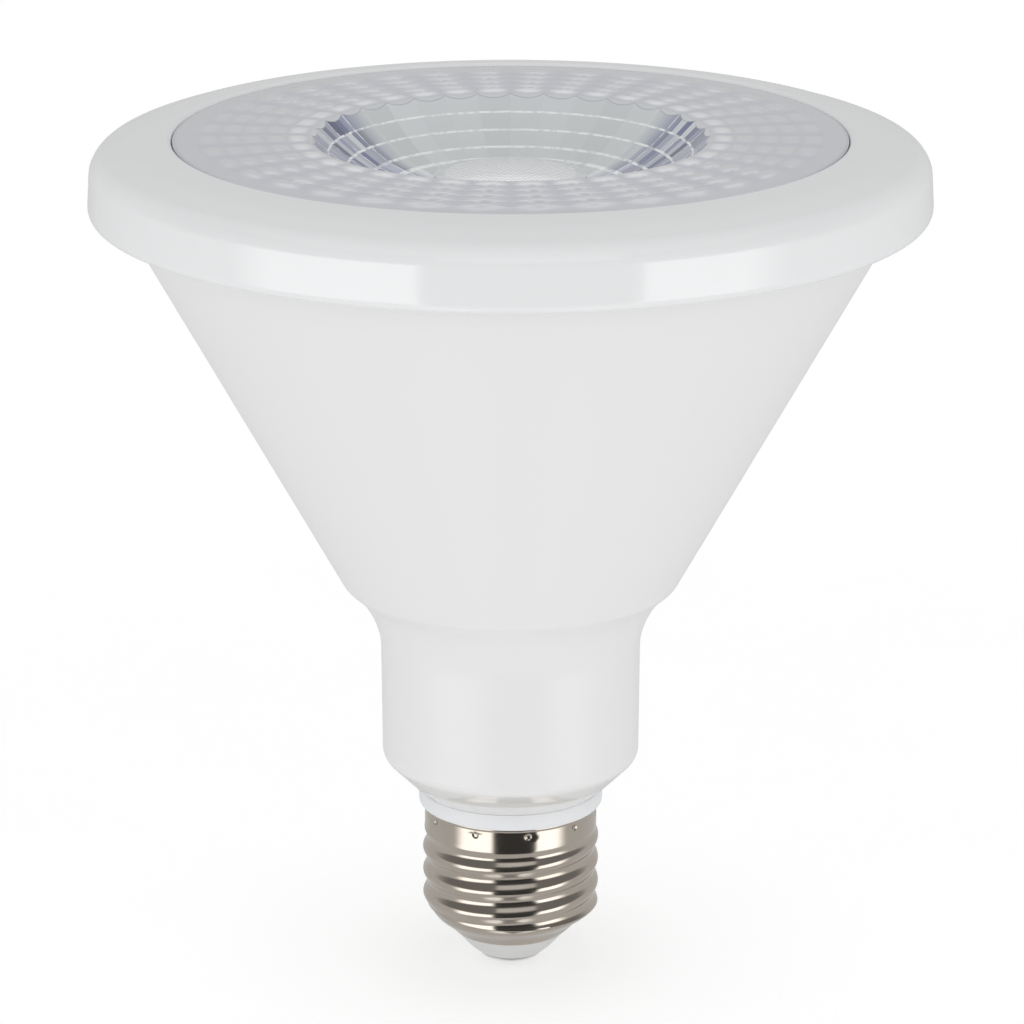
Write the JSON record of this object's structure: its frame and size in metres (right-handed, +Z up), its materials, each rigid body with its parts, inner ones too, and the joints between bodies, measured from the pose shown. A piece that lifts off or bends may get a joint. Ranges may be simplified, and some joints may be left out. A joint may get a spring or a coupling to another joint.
{
  "type": "par spotlight bulb",
  "caption": "LED reflector lamp with a screw cap, a white cone housing, and a clear lens with pads and a faceted bowl in a glossy ring.",
  "frame": {"origin": "middle of the centre contact's bottom face, the foot of the screw cap", "axes": "+Z up the lamp's axis from the cap to the lens, -Y towards the camera of the picture, +X to its right"},
  "size_m": [0.1212, 0.1212, 0.127],
  "materials": {
    "white_housing": "satin white",
    "white_ring": "glossy white",
    "collar": "matte bluish white",
    "clear_lens": "clear with a lavender tint",
    "nickel": "nickel plated",
    "insulator": "satin",
    "aluminium": "satin",
    "seal": "matte",
    "thermal_pad": "matte",
    "white_board": "white solder mask",
    "green_board": "green solder mask",
    "phosphor": "yellow phosphor",
    "steel": "zinc plated",
    "capacitor_can": "sleeved can",
    "film": "glossy",
    "black_chip": "matte",
    "ferrite": "matte",
    "winding_tape": "taped",
    "fuse": "coated",
    "wire_red": "matte",
    "wire_black": "matte",
    "wire_white": "matte"
  },
  "bodies": {
    "root": {"housing": "white_housing", "front_ring": "white_ring", "lens": "clear_lens", "lens_seal": "seal", "led_tray": "aluminium", "heat_liner": "aluminium", "thermal_pad": "thermal_pad", "led_board": "white_board", "led_packages": "phosphor", "board_screws": "steel", "cap_base": "collar", "cap_shell": "nickel", "cap_insulator": "insulator", "centre_contact": "nickel", "driver_board": "green_board", "input_capacitor": "capacitor_can", "output_capacitor": "capacitor_can", "film_capacitor": "film", "bridge_rectifier": "black_chip", "driver_chip": "black_chip", "output_diode": "black_chip", "chip_resistors": "black_chip", "transformer_core": "ferrite", "transformer_winding": "winding_tape", "fuse_resistor": "fuse", "neutral_lead": "wire_white", "led_lead_plus": "wire_red", "led_lead_minus": "wire_black"}
  },
  "joints": []
}
